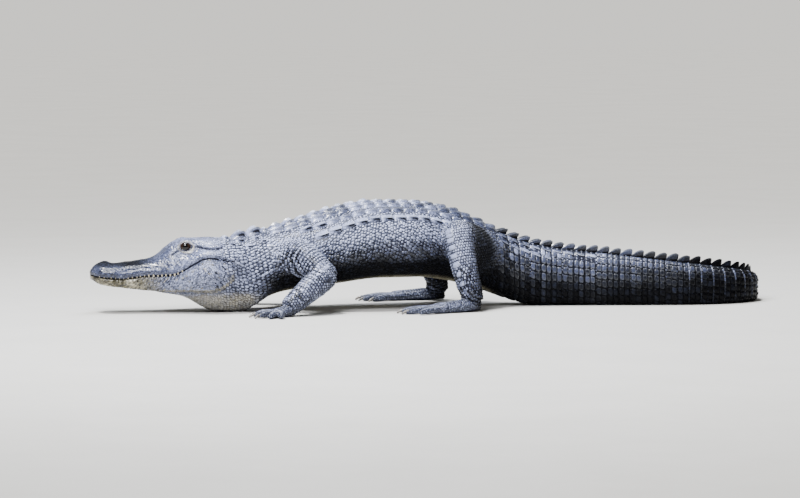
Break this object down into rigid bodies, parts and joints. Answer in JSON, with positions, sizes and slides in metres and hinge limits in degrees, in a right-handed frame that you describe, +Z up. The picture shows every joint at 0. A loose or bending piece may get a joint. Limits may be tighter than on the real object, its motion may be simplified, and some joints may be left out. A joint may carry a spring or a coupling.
{
  "type": "american alligator",
  "caption": "American alligator lying still with its head slightly raised, legs bent and the end of its ringed, crested tail curled away.",
  "frame": {"origin": "on the floor under the middle of the whole animal's outline", "axes": "+Z up, the head points to -X and the tail to +X, the animal's left side faces -Y"},
  "size_m": [1.7856, 0.6784, 0.2809],
  "materials": {
    "hide": "damp satin",
    "jaw_hide": "satin",
    "eye": "wet gloss",
    "tooth": "dull gloss enamel",
    "claw": "dull horn"
  },
  "bodies": {
    "root": {"head": "hide", "lower_jaw": "jaw_hide", "eye_left": "eye", "eye_right": "eye", "neck": "hide", "torso_front": "hide", "torso_rear": "hide", "tail_1": "hide", "tail_2": "hide", "tail_3": "hide", "tail_4": "hide", "tail_5": "hide", "upper_arm_left": "hide", "forearm_left": "hide", "forefoot_left": "hide", "thigh_left": "hide", "shank_left": "hide", "hind_foot_left": "hide", "upper_arm_right": "hide", "forearm_right": "hide", "forefoot_right": "hide", "thigh_right": "hide", "shank_right": "hide", "hind_foot_right": "hide"}
  },
  "joints": []
}
